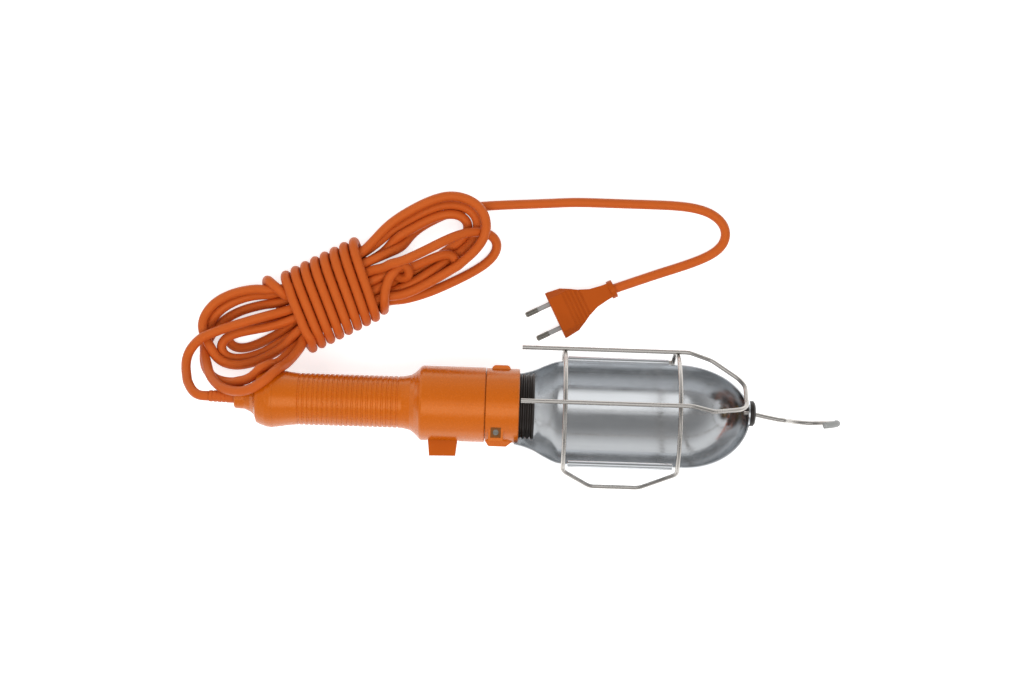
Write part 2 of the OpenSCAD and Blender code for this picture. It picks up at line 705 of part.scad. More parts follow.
module guard_bail() {
    low = -bail_drop - hoop_centre_z;
    color(zinc) opening_frame() translate([0, -hoop_arc_r, hoop_centre_z]) rotate([90 - bail_lean, 0, 0])
        bent_wire([
            [rear_hoop_x, weld_overlap, 0], [rear_hoop_x, -bail_side, 0],
            [rear_hoop_x + 19, low, 0], [front_hoop_x - 25, low, 0],
            [front_hoop_x, -bail_side, 0], [front_hoop_x, weld_overlap, 0]], wire_r, 3);
}

module guard_long_wires() {
    tip_x = 1;
    bend_x = front_hoop_x + 7.5;
    shoulder_x = bend_x + 16;
    neck_x = shoulder_x + 19;
    crossbar_x = neck_x + 4.5;
    g = long_wire_half_gap;
    z = long_wire_z;
    color(zinc) opening_frame() bent_wire([
        [tip_x, g, z], [bend_x, g, z], [shoulder_x, g - 1, z - 6.4], [neck_x, g - 10.5, z - 13.9],
        [crossbar_x, g - 15, z - 16], [crossbar_x, -g + 15, z - 16],
        [neck_x, -g + 10.5, z - 13.9], [shoulder_x, -g + 1, z - 6.4], [bend_x, -g, z], [tip_x, -g, z]], wire_r, 3);
}

// ---- cord and plug ----

module cord_inner() {
    color(orange) rod_x(relief_end_x, clamp_x + 8, cord_r);
}

module cord_lead() { color(orange) cord_tube(concat([[relief_end_x, 0, -floor_z]], lead_route)); }

module cord_over() { color(orange) cord_tube(over_route); }

module cord_tail() { color(orange) cord_tube(tail_route); }

module cord_wraps() {
    color(orange) translate([wraps_centre[0], wraps_centre[1], floor_z]) rotate([0, 0, wraps_turn])
        translate([-wraps_size[0] / 2, 0, wraps_size[2] / 2]) rotate([90, 0, 90])
            linear_extrude(wraps_size[0]) hull() for (side = [-1, 1])
                translate([side * (wraps_size[1] - wraps_size[2]) / 2, 0]) circle(d = wraps_size[2], $fn = 32);
}

// half of the hank: round-ended outline cut off at the wraps' end face
module hank_half(side, circles) {
    color(orange) difference() {
        translate([0, 0, floor_z]) linear_extrude(hank_height) hull() {
            for (c = circles) translate([c[0], c[1]]) circle(r = c[2], $fn = 48);
            translate(wraps_centre) rotate(wraps_turn) translate([side * wraps_size[0] / 2, 0])
                square([4, wraps_size[1] - 16], center = true);
        }
        translate([wraps_centre[0], wraps_centre[1], floor_z - cut]) rotate([0, 0, wraps_turn])
            translate([side > 0 ? -hank_trim + wraps_size[0] / 2 : -wraps_size[0] / 2, -hank_trim / 2, 0])
                cube([hank_trim, hank_trim, hank_height + 2 * cut]);
    }
}

module cord_hank_left() { hank_half(-1, hank_left_circles); }

module cord_hank_right() { hank_half(1, hank_right_circles); }

module plug_frame() {
    translate([plug_centre[0], plug_centre[1], plug_z]) rotate([0, 0, plug_turn]) children();
}

// flat body: outline from above, with tapering sides and a flange at the cord
module plug_body() {
    half = plug_width / 2;
    l = plug_length;
    outline = [[0, -half], [1.5, -half], [11, -half + 1.2], [17, -half + 4.4], [22, -half + 7.4],
               [30, -7], [l - 5, -5.6], [l, -5.2], [l, 5.2], [l - 5, 5.6], [30, 7], [22, half - 7.4],
               [17, half - 4.4], [11, half - 1.2], [1.5, half], [0, half]];
    color(orange) plug_frame() difference() {
        union() {
            intersection() {
                translate([0, 0, -plug_thickness / 2]) linear_extrude(plug_thickness) polygon(outline);
                // the faces slope down towards both narrow edges and the cord
                rotate([90, 0, 90]) linear_extrude(l) polygon([
                    [-half, -2.3], [-half + 5, -plug_thickness / 2], [half - 5, -plug_thickness / 2], [half, -2.3],
                    [half, 2.3], [half - 5, plug_thickness / 2], [-half + 5, plug_thickness / 2], [-half, 2.3]]);
                rotate([90, 0, 0]) translate([0, 0, -half]) linear_extrude(2 * half) polygon([
                    [0, -plug_thickness / 2], [20, -plug_thickness / 2], [l, -5], [l, 5],
                    [20, plug_thickness / 2], [0, plug_thickness / 2]]);
            }
            translate([l - 1, 0, 0]) rotate([0, 90, 0]) cylinder(h = 3.6, r = 6.6);
        }
        for (s = [-1, 1]) translate([0, s * pin_spacing / 2, 0]) rod_x(-cut, pin_root, pin_core_r + seat);
        // finger grooves across both faces
        for (s = [-1, 1]) for (i = [0:4])
            translate([10.5 + 2.9 * i, -plug_width / 2, s * (plug_thickness / 2 + 0.4 - i * 0.12) - 0.8])
                cube([1.3, plug_width, 1.6]);
    }
}

module plug_sleeves() {
    color(grey) plug_frame() for (s = [-1, 1]) translate([0, s * pin_spacing / 2, 0])
        tube_x(-sleeve_length, -seat, pin_d / 2 - sleeve_step, pin_core_r + seat);
}

module plug_pins() {
    color(zinc) plug_frame() for (s = [-1, 1]) translate([0, s * pin_spacing / 2, 0])
        lathe([[-pin_length, 0], [-pin_length, pin_d / 2 - 0.8], [-pin_length + 0.8, pin_d / 2],
               [-sleeve_length - seat, pin_d / 2], [-sleeve_length - seat, pin_core_r],
               [pin_root - seat, pin_core_r], [pin_root - seat, 0]]);
}

handle();
tail_cap();
tail_cap_screws();
strain_relief();
cord_clamp();
cord_clamp_screws();
front_collar();
collar_nut();
collar_screw();
lampholder_skirt();
lampholder_base();
screw_shell();
centre_contact();
terminal_screws();
line_wire();
neutral_wire();
switch_frame();
switch_contacts();
switch_spring();
rocker_pin();
switch_rocker();
contact_bar();
reflector();
reflector_screw();
hook_grommet();
hook();
hook_sleeve();
guard_hoops();
guard_bail();
guard_long_wires();
cord_inner();
cord_lead();
cord_over();
cord_hank_left();
cord_wraps();
cord_hank_right();
cord_tail();
plug_body();
plug_sleeves();
plug_pins();
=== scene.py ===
import json
import math

import bmesh
import bpy
import numpy as np
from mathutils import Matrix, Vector


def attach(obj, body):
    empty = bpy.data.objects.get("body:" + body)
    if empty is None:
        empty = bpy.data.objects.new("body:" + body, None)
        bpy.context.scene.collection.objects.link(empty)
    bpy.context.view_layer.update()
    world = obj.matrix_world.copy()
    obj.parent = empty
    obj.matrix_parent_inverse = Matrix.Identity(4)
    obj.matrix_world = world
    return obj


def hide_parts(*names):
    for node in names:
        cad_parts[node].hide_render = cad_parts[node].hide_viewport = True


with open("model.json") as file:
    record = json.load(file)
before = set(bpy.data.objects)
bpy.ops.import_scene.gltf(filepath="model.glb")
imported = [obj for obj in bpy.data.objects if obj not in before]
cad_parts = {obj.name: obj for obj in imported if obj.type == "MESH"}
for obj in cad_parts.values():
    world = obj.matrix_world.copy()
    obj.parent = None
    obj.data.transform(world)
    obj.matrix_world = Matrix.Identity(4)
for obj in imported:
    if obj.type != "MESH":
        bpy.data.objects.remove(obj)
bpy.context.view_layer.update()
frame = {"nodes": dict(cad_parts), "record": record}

mm = 0.001
scene = bpy.context.scene
nodes = frame["nodes"]


# sRGB hex to the linear colour that shaders take
def linear(code):
    parts = [int(code[i:i + 2], 16) / 255 for i in (1, 3, 5)]
    return tuple(c / 12.92 if c <= 0.04045 else ((c + 0.055) / 1.055) ** 2.4 for c in parts) + (1.0,)


# adds a node with its settings, sets or links its inputs, and returns it
def addNode(tree, kind, settings=None, **inputs):
    made = tree.nodes.new(kind)
    for key, value in (settings or {}).items():
        setattr(made, key, value)
    for key, value in inputs.items():
        byNumber = key.startswith("in") and key[2:].isdigit()
        socket = made.inputs[int(key[2:]) if byNumber else key.replace("_", " ")]
        if isinstance(value, bpy.types.NodeSocket):
            tree.links.new(value, socket)
        else:
            socket.default_value = value
    return made


def newMaterial(name):
    made = bpy.data.materials.new(name)
    made.use_nodes = True
    made.node_tree.nodes.clear()
    return made, made.node_tree


def finishMaterial(tree, shader):
    out = tree.nodes.new("ShaderNodeOutputMaterial")
    tree.links.new(shader.outputs[0], out.inputs["Surface"])


# camera: straight above the lamp, turned a little
cameraSetup = {"place": (-6.37, 45.0, 1256.4), "turn": 1.88, "lens": 63.49}
cameraData = bpy.data.cameras.new("camera")
cameraData.lens = cameraSetup["lens"]
cameraData.clip_start, cameraData.clip_end = 0.01, 20
camera = bpy.data.objects.new("camera", cameraData)
camera.location = [c * mm for c in cameraSetup["place"]]
camera.rotation_euler = (0, 0, math.radians(cameraSetup["turn"]))
scene.collection.objects.link(camera)
scene.camera = camera
print("camera ready")


# the mains cord: x, y and height above the floor in mm, in the order that the cord runs
floorZ = -43.6
cordSetup = {
    "diameter": 6.8, "length": 4160, "spacing": 3.6, "ringStep": 1.7, "sides": 16,
    "wrapsCentre": (-134, 74), "wrapsTurn": 28,
    "column": 6.95, "layers": (10.3, 17.3),      # the strands inside the wraps lie in two layers of six
    "turns": 8, "topStart": -24.8, "topPitch": 7.74, "lowStart": -30.7, "lowPitch": 7.1,
    "lead": [(-215.5, 0, 43.6), (-219.5, 0, 43.6), (-224, 0.7, 42.3), (-228.5, 3.6, 39), (-232.8, 9.2, 33),
             (-236, 16, 27), (-237.8, 22.5, 22), (-237, 29.5, 18.5), (-233, 35.5, 18.5), (-225.5, 41, 21),
             (-216, 45, 25), (-205, 49, 27), (-195, 52.3, 27), (-181, 57, 25)],
    "lowRight": [(-94, 93, 26), (-82, 100, 30), (-69, 107, 30), (-57, 114, 28), (-45, 120, 23), (-33, 123, 15),
                 (-23, 122, 10), (-17, 117, 8), (-17, 110, 7), (-23, 102, 6), (-35, 94, 5), (-52, 85, 5),
                 (-69, 77, 6), (-88, 71, 8)],
    "outerLeft": [(-158, 38, 20), (-163, 31, 30), (-168, 24, 42), (-173, 19.5, 52), (-179, 15, 55), (-187, 11, 53),
                  (-197, 9, 48), (-207, 9.5, 41), (-216, 12, 32), (-222.5, 17.5, 23), (-226.5, 25.5, 14),
                  (-227, 34, 8), (-224.5, 42, 5), (-219.5, 49, 4), (-213, 54.5, 4), (-204, 60, 5), (-191, 64, 7),
                  (-177, 67.5, 9)],
    "innerRight": [(-98, 105, 12), (-91, 112.5, 12), (-84, 119, 12), (-79, 123.8, 12), (-70, 129.5, 12),
                   (-62, 133.5, 12), (-52, 136.2, 12), (-43.5, 134.5, 12), (-38, 129.5, 11), (-37.5, 123, 9),
                   (-43, 115, 7), (-56, 105.5, 6), (-70, 96.5, 6), (-84, 89, 7), (-94, 84, 11)],
    "frontLeft": [(-164, 38, 19), (-178, 28.5, 22), (-192, 22, 24), (-203, 20, 24.5), (-213, 22.5, 23.5),
                  (-220.5, 29, 20), (-225.5, 38, 16), (-228, 47, 13), (-227, 57, 12), (-220, 66, 13), (-209, 72, 14),
                  (-197, 75.5, 15), (-183, 77.5, 16)],
    "outerRight": [(-98, 124, 18), (-81, 136, 18), (-64, 145, 18), (-53, 148, 18), (-41, 146, 19), (-31, 140, 21),
                   (-26, 131, 23), (-26, 121, 22), (-31, 111.5, 19), (-41, 102, 17), (-57, 90.5, 15), (-73, 81, 14),
                   (-88, 75, 15)],
    "overTail": [(-152, 39, 22), (-157, 33, 30), (-161, 26, 40), (-165, 20.5, 51), (-170, 14, 61), (-176, 9, 66),
                 (-184, 5, 65), (-193, 3, 60.5), (-202, 4, 56), (-210, 7, 49), (-216, 12.5, 40), (-220.5, 20, 28),
                 (-224, 28, 17), (-226, 38, 11), (-225, 49, 10.5), (-218.5, 59.5, 10.5), (-207, 67, 10),
                 (-193, 72, 10)],
    "secondRight": [(-95, 120, 11), (-79, 131.5, 11.5), (-62, 140, 12), (-52, 142.3, 12), (-41, 140.5, 12),
                    (-32.5, 133.5, 12), (-31.5, 124, 11), (-37, 114, 10), (-46, 106, 9), (-60, 95, 8), (-75, 86, 8),
                    (-91, 79, 9)],
    "middleLeft": [(-168, 41, 13), (-183, 30.5, 13), (-197, 25.5, 15), (-208, 24.5, 17), (-215, 29, 17.5),
                   (-216, 36, 18), (-211, 42, 19), (-202, 45, 19.5), (-191, 47, 19.5), (-176, 50, 19)],
    "middleRight": [(-95, 87, 15.5), (-87, 90, 11.5), (-78, 95, 11), (-66, 102, 12.5), (-55, 107.5, 13.5),
                    (-47.5, 107, 12), (-46, 101.5, 9), (-53, 96, 6), (-66, 90, 5), (-80, 85, 6), (-92, 82, 8)],
    "smallLeft": [(-168, 47.5, 9), (-180, 41, 7), (-191, 35, 5), (-201, 31.5, 4), (-210, 33.5, 4), (-213.5, 41, 4),
                  (-208, 48, 4), (-196, 51, 6), (-180, 54, 8)],
    "hitch": [(-100, 89.5, 8.5), (-91, 85, 9), (-83, 84.5, 12.5), (-78.5, 89.5, 17.5), (-80.5, 97, 20.5),
              (-87, 100.5, 21.5), (-93, 96.5, 22), (-96, 87, 24), (-98.3, 76, 25.5), (-98, 66, 21)],
    "tuckLeft": [(-181, 72, 9), (-185, 79, 16), (-183, 81, 23), (-176, 78, 25), (-168, 74, 23)],
    "tail": [(-98, 104, 18), (-90, 112, 13), (-82, 120, 7), (-70, 128, 4), (-56, 135, 3.6), (-44, 139, 3.5),
             (-32, 141, 3.4), (-20, 142, 3.4), (-6, 143, 3.4), (10, 144, 3.4), (36, 146, 3.4), (61, 146, 3.4),
             (86, 146, 3.4), (106, 146, 3.4), (122, 145, 3.4), (134, 142, 3.4), (143, 136, 3.4), (147, 128, 3.4),
             (145, 119, 3.4), (137, 112, 3.4), (121, 105, 3.4), (101, 98, 3.4), (82, 91, 5), (62.9, 83.8, 6.85)],
    # settling: each strand is held to its route, sinks, rounds its bends and is pushed off its neighbours
    "rounds": 220, "hold": 0.03, "holdWraps": 0.12, "holdHeight": 0.5, "fall": 0.035, "soften": 0.22,
    "softenWraps": 0.08, "heldFirst": 8, "heldLast": 14, "pushes": 2, "pushMore": 1.4,
    "lookEvery": 6,      # rounds between two searches for strands that lie near each other
    # in cord diameters: the search, how far along its own line a strand isn't its own neighbour, and the gaps
    "lookWithin": 1.9, "ownReach": 2.2, "apart": 1.01, "pressed": 0.9,
}
# the handle that the cord lies against: distance along the lamp and radius, in mm
handleShape = [(-215.5, 3.9), (-198, 4.4), (-197.6, 7.6), (-190.6, 8.3), (-186.3, 10.2), (-183.8, 12.5), (-181.8, 17.5),
               (-179.8, 18.5), (-175, 20.1), (-170, 20.4), (-168, 20), (-160, 18.7), (-154, 18), (-81, 18)]


def wrapsPoint(u, v, height):
    turn = math.radians(cordSetup["wrapsTurn"])
    cx, cy = cordSetup["wrapsCentre"]
    return (cx + u * math.cos(turn) - v * math.sin(turn), cy + u * math.sin(turn) + v * math.cos(turn), height)


# one straight pass through the wraps, in a column counted from the lamp's side
def throughWraps(column, layer, toRight):
    v = (column - 3.5) * cordSetup["column"]
    height = cordSetup["layers"][layer]
    line = [wrapsPoint(u, v, height) for u in (-32, -16, 0, 16, 32)]
    return line if toRight else line[::-1]


# the turns that bind the hank, wound from right to left over the top
def windWraps():
    turn = [(28, 13.5), (25, 20.8), (17, 24.8), (6, 25.4), (-6, 25.4), (-17, 24.8), (-25, 20.8), (-28, 13.5)]
    under = [(-25, 7), (-17, 3.6), (-6, 3.4), (6, 3.4), (17, 3.6), (25, 7)]
    c = cordSetup
    steps = len(turn) - 1
    low = c["lowStart"] + c["lowPitch"] * c["turns"]
    line = []
    for i in range(c["turns"], 0, -1):
        top = c["topStart"] + c["topPitch"] * (i - 1)
        line += [wrapsPoint(low + (top - low) * (k + 1) / steps, v, h) for k, (v, h) in enumerate(under)]
        low = c["lowStart"] + c["lowPitch"] * (i - 1)
        line += [wrapsPoint(top + (low - top) * k / steps, v, h) for k, (v, h) in enumerate(turn)]
    return line + [wrapsPoint(low - 3, -15, 3.6), wrapsPoint(low - 6, -2, 3.6), wrapsPoint(low - 9, 12, 4)]


# every point of the route, with a fourth value that is 1 in the binding turns
def cordGuide():
    c = cordSetup
    wraps = windWraps()
    parts = [c["lead"], throughWraps(4, 1, True), c["lowRight"], throughWraps(1, 0, False), c["outerLeft"],
             throughWraps(5, 0, True), c["innerRight"], throughWraps(2, 1, False), c["frontLeft"],
             throughWraps(6, 1, True), c["outerRight"], throughWraps(1, 1, False), c["overTail"],
             throughWraps(6, 0, True), c["secondRight"], throughWraps(2, 0, False), c["middleLeft"],
             throughWraps(3, 1, True), c["middleRight"], throughWraps(3, 0, False), c["smallLeft"],
             throughWraps(4, 0, True), c["hitch"], wraps, c["tuckLeft"], throughWraps(5, 1, True), c["tail"]]
    return np.array([(*p, float(part is wraps)) for part in parts for p in part])


# a smooth line through the points, cut into even steps
def evenLine(points, step):
    padded = np.vstack([2 * points[0] - points[1], points, 2 * points[-1] - points[-2]])
    perSpan = 12
    t = np.linspace(0, 1, perSpan, endpoint=False)[:, None]
    fine = []
    for a, b, c, d in zip(padded, padded[1:], padded[2:], padded[3:]):
        square, cube = 2 * a - 5 * b + 4 * c - d, 3 * b - a - 3 * c + d
        fine.append(0.5 * (2 * b + (c - a) * t + square * t ** 2 + cube * t ** 3))
    fine = np.vstack(fine + [points[-1:]])
    along = np.concatenate([[0], np.cumsum(np.linalg.norm(np.diff(fine[:, :3], axis=0), axis=1))])
    count = int(round(along[-1] / step)) + 1
    even = np.linspace(0, along[-1], count)
    return np.stack([np.interp(even, along, column) for column in fine.T], 1)


# lets the cord settle: strands push each other apart, rest on the floor and lie against the handle
def settleCord(guide):
    c = cordSetup
    d, step = c["diameter"], c["spacing"]
    line = evenLine(guide, step)
    bound, line = np.clip(line[:, 3:], 0, 1), line[:, :3].copy()
    hold = c["hold"] + (c["holdWraps"] - c["hold"]) * bound
    soften = (c["soften"] + (c["softenWraps"] - c["soften"]) * bound)[1:-1]
    home = line.copy()
    n = len(line)
    reach = int(c["ownReach"] * d / step)
    handleX, handleR = np.array(handleShape).T
    axisHeight = -floorZ
    fixed = np.zeros(n, bool)
    fixed[:c["heldFirst"]] = fixed[-c["heldLast"]:] = True
    for turn in range(c["rounds"]):
        if turn % c["lookEvery"] == 0:
            gap = np.linalg.norm(line[:, None, :] - line[None, :, :], axis=2)
            i, j = np.nonzero(np.triu(gap < c["lookWithin"] * d, reach + 1))
        line[:, 2] -= c["fall"]
        line += hold * (home - line) * np.array([1, 1, c["holdHeight"]])
        middle = 0.5 * (line[:-2] + line[2:]) - line[1:-1]
        line[1:-1] += soften * middle
        for _ in range(c["pushes"]):
            apart = line[i] - line[j]
            distance = np.linalg.norm(apart, axis=1)
            push = np.clip(d * c["apart"] - distance, 0, None) * 0.5      # half for each strand
            move = apart / np.maximum(distance, 1e-6)[:, None] * push[:, None]
            total = np.zeros_like(line)
            count = np.zeros(n)
            np.add.at(total, i, move)
            np.add.at(total, j, -move)
            np.add.at(count, i, push > 0)
            np.add.at(count, j, push > 0)
            line += total / np.maximum(count, 1)[:, None] * c["pushMore"]
            line[:, 2] = np.maximum(line[:, 2], d / 2)
        # against the handle
        radius = np.interp(line[:, 0], handleX, handleR, left=0, right=0)
        across = line[:, 1:] - np.array([0, axisHeight])
        off = np.maximum(np.linalg.norm(across, axis=1), 1e-6)
        inside = (radius > 0) & (off < radius + d / 2) & ~fixed
        line[inside, 1:] += across[inside] / off[inside, None] * (radius + d / 2 - off)[inside, None]
        line[fixed] = home[fixed]
    gap = np.linalg.norm(line[:, None, :] - line[None, :, :], axis=2)
    close = np.triu(gap < c["pressed"] * d, reach + 1).any(1).sum()
    print(f"cord settled: {n} points, {close} of them pressed together, highest {line[:, 2].max():.1f} mm")
    return line


# a round tube along a line of points, with a UV map that runs round it and along it in metres
def tubeMesh(name, line, radius, sides):
    along = np.gradient(line, axis=0)
    along /= np.linalg.norm(along, axis=1)[:, None]
    side = np.cross(along[0], (0, 0, 1))
    rings = []
    for i, t in enumerate(along):
        side = side - t * side.dot(t)
        side /= np.linalg.norm(side)
        up = np.cross(t, side)
        rings.append([line[i] + radius * (math.cos(a) * side + math.sin(a) * up)
                      for a in (math.tau * k / sides for k in range(sides))])
    n = len(line)
    verts = np.array(rings).reshape(-1, 3)
    faces = [(i * sides + k, i * sides + (k + 1) % sides, (i + 1) * sides + (k + 1) % sides, (i + 1) * sides + k)
             for i in range(n - 1) for k in range(sides)]
    faces += [tuple(range(sides))[::-1], tuple(range((n - 1) * sides, n * sides))]
    mesh = bpy.data.meshes.new(name)
    mesh.from_pydata(verts.tolist(), [], faces)
    uv = mesh.uv_layers.new(name="along")
    gone = np.concatenate([[0], np.cumsum(np.linalg.norm(np.diff(line, axis=0), axis=1))])
    flat = np.zeros((len(mesh.loops), 2))
    for i in range(n - 1):
        for k in range(sides):
            first = 4 * (i * sides + k)
            flat[first:first + 4] = ((k / sides, gone[i]), ((k + 1) / sides, gone[i]),
                                     ((k + 1) / sides, gone[i + 1]), (k / sides, gone[i + 1]))
    uv.data.foreach_set("uv", flat.ravel())
    mesh.shade_smooth()
    made = bpy.data.objects.new(name, mesh)
    scene.collection.objects.link(made)
    return made


def makeCord():
    c = cordSetup
    line = evenLine(settleCord(cordGuide()), c["ringStep"])
    line[:, 2] = np.maximum(line[:, 2], c["diameter"] / 2)
    line[:, 2] += floorZ
    line *= mm
    length = np.linalg.norm(np.diff(line, axis=0), axis=1).sum()
    print(f"cord: {length:.3f} m along its centre")
    return tubeMesh("mainsCord", line, c["diameter"] / 2 * mm, c["sides"]), line


mainsCord, cordLine = makeCord()
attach(mainsCord, "root")
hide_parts("cord_lead", "cord_over", "cord_hank_left", "cord_wraps", "cord_hank_right", "cord_tail")


openingTilt = math.radians(43)      # the shell's opening leans this far from straight up


# turns points drawn with the opening's normal up into the lamp's own frame
def fromOpening(x, y, z):
    lean, rise = math.sin(openingTilt), math.cos(openingTilt)
    return (x, y * rise + z * lean, -y * lean + z * rise)


# one mesh from rings of points, each joined to the next; the ends are filled unless the last joins the first
def loftMesh(rings, closed):
    count = len(rings[0])
    verts = [v for ring in rings for v in ring]
    faces = []
    for i in range(len(rings) - (0 if closed else 1)):
        a, b = i * count, (i + 1) % len(rings) * count
        faces += [(a + k, a + (k + 1) % count, b + (k + 1) % count, b + k) for k in range(count)]
    if not closed:
        faces += [tuple(range(count))[::-1], tuple(range((len(rings) - 1) * count, len(rings) * count))]
    return verts, faces


# one object from several shells in mm, riding a body in place of a CAD node
def joinedPiece(name, shells, body, node, sharp=35):
    verts, faces = [], []
    for shellVerts, shellFaces in shells:
        faces += [tuple(k + len(verts) for k in face) for face in shellFaces]
        verts += shellVerts
    mesh = bpy.data.meshes.new(name)
    mesh.from_pydata([[c * mm for c in v] for v in verts], [], faces)
    work = bmesh.new()
    work.from_mesh(mesh)
    bmesh.ops.recalc_face_normals(work, faces=work.faces)
    work.to_mesh(mesh)
    work.free()
    mesh.shade_smooth()
    mesh.set_sharp_from_angle(angle=math.radians(sharp))
    made = bpy.data.objects.new(name, mesh)
    scene.collection.objects.link(made)
    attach(made, body)
    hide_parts(node)
    return made


# a tube or a bar along the lamp: outline points as x and radius, turned about a line at y, z
def turned(outline, sides, centre=(0, 0)):
    angles = [math.tau * k / sides for k in range(sides)]
    return loftMesh([[(x, centre[0] + r * math.sin(a), centre[1] - r * math.cos(a)) for a in angles]
                     for x, r in outline], True)


# the half shell, pressed from one sheet: its outline along the lamp, swept from hem to hem about the axis
shellSetup = {
    "cone": [(-3, 29.8), (4, 31.6), (11, 34.5), (17, 38.2), (23, 41.5), (27.5, 43.2), (32, 43.6)],
    "radius": 43.6, "straightStart": 34, "straightEnd": 113, "noseLength": 48, "wall": 0.8,
    "sweep": (-77, 90), "sweepStep": 1.5, "coneStep": 1.2, "points": 34,
    "boss": 8.9, "noseX": 159.72, "bossWall": 0.8, "bossBore": 1.66, "bossEdge": 0.5, "bossSides": 72,
    "hemX": (34.1, 105.9), "hemRadius": 2.3, "hemBore": 1.55, "hemSides": 40, "edge": 0.3,
    "farHem": (45.5, 0), "nearHem": (-42.09, -9.72),
    "tongue": ((-16.5, -24.6, 5), (-2.4, 0.6)), "flange": (-3, -2, -29.4),
}


def shellOutline(inset):
    s = shellSetup
    cone = evenLine(np.array([(x, r, 0.0, 0.0) for x, r in s["cone"]]), s["coneStep"])[:, :2]
    straight = [(x, s["radius"]) for x in np.linspace(s["straightStart"], s["straightEnd"] - 2, s["points"])]
    turnEnd = math.acos(s["boss"] / s["radius"])
    nose = [(s["straightEnd"] + (s["noseLength"] - inset) * math.sin(t), s["radius"] * math.cos(t))
            for t in np.linspace(0, turnEnd, s["points"])]
    return [(x, r - inset) for x, r in [*cone, *straight, *nose]]


def makeReflector():
    s = shellSetup
    start, end = (math.radians(a) for a in s["sweep"])
    turns = np.linspace(start, end, int((s["sweep"][1] - s["sweep"][0]) / s["sweepStep"]) + 1)
    loop = shellOutline(0) + shellOutline(s["wall"])[::-1]
    shells = [loftMesh([[fromOpening(x, r * math.sin(a), -r * math.cos(a)) for x, r in loop] for a in turns], False)]
    (x0, x1), outer, bore, edge = s["hemX"], s["hemRadius"], s["hemBore"], s["edge"]
    for y, z in (s["farHem"], s["nearHem"]):
        centre = fromOpening(0, y, z)[1:]
        shells.append(turned([(x0, bore), (x0, outer - edge), (x0 + edge, outer), (x1 - edge, outer),
                              (x1, outer - edge), (x1, bore)], s["hemSides"], centre))
    noseX, boss, hole = s["noseX"], s["boss"], s["bossBore"]
    shells.append(turned([(noseX - s["wall"], hole), (noseX - s["wall"], boss), (noseX + edge, boss),
                          (noseX + s["bossWall"], boss - s["bossEdge"]), (noseX + s["bossWall"], hole)],
                         s["bossSides"]))
    (back, y, half), (front, thick) = s["tongue"]
    flangeBack, flangeFront, flangeLow = s["flange"]
    for x0, x1, y0, y1 in ((back, front, y - thick, y + thick), (flangeBack, flangeFront, flangeLow, y + thick)):
        ends = [[(x, y0, -half), (x, y1, -half), (x, y1, half), (x, y0, half)] for x in (x0, x1)]
        shells.append(loftMesh(ends, False))
    return joinedPiece("pressedReflector", shells, "root", "reflector")


pressedReflector = makeReflector()
print(f"reflector: {len(pressedReflector.data.polygons)} faces")


# the hook as it was bent by hand: its shank and bow sway to one side of the lamp
hookSetup = {
    "wire": 1.6, "start": 156.6, "elbow": 185.22, "bow": 18, "tip": 66,
    "sway": [(158, 0), (163, -0.3), (168, -1.4), (176, -2.9), (185, -4.2), (196, -5.6), (205, -6.2),
             (212, -5.8), (223, -4.6)],
    "sleeve": 2.3, "sleeveFrom": -4, "sleeveOver": 2, "shankStep": 3, "bowStep": 6, "ringStep": 0.9, "sides": 24,
}


def hookLine(first, last):
    s = hookSetup
    xs, ys = np.array(s["sway"]).T
    straight = []
    if first < -180:
        straight = [(x, 0) for x in np.arange(s["start"], s["elbow"] - s["shankStep"], s["shankStep"])]
    centre = s["elbow"] + s["bow"]
    bow = [(centre + s["bow"] * math.cos(math.radians(a)), s["bow"] * math.sin(math.radians(a)))
           for a in np.arange(max(first, -180), last + 1, s["bowStep"])]
    line = np.array([(x, np.interp(x, xs, ys), z, 0) for x, z in straight + bow])
    line[1:-1, 1] = 0.25 * line[:-2, 1] + 0.5 * line[1:-1, 1] + 0.25 * line[2:, 1]
    return evenLine(line, s["ringStep"])[:, :3] * mm


def finishedTube(name, line, radius, body, node):
    made = tubeMesh(name, line, radius * mm, hookSetup["sides"])
    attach(made, body)
    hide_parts(node)
    return made


bentHook = finishedTube("bentHook", hookLine(-200, hookSetup["tip"]), hookSetup["wire"], "hook", "hook")
sleeveLine = hookLine(hookSetup["sleeveFrom"], hookSetup["tip"] + hookSetup["sleeveOver"])
hookTipSleeve = finishedTube("hookTipSleeve", sleeveLine, hookSetup["sleeve"], "hook", "hook_sleeve")
print("hook ready")


# injection-moulded ABS: an even semi-gloss skin with a fine grain and faint flow clouds
plasticSetup = {"base": "#d06507", "deep": "#c35b05", "roughness": 0.25, "grain": 0.35, "cloud": 38, "edge": 0.35,
                "sheen": 0.85}
# the same plastic from a darker batch, as on the rocker, and the plug's rubbery one
rockerSetup = plasticSetup | {"base": "#bf5607", "deep": "#b44e05", "roughness": 0.38, "sheen": 0.4}
plugSetup = plasticSetup | {"base": "#b9500d", "deep": "#ab4708", "roughness": 0.44, "sheen": 0.4}


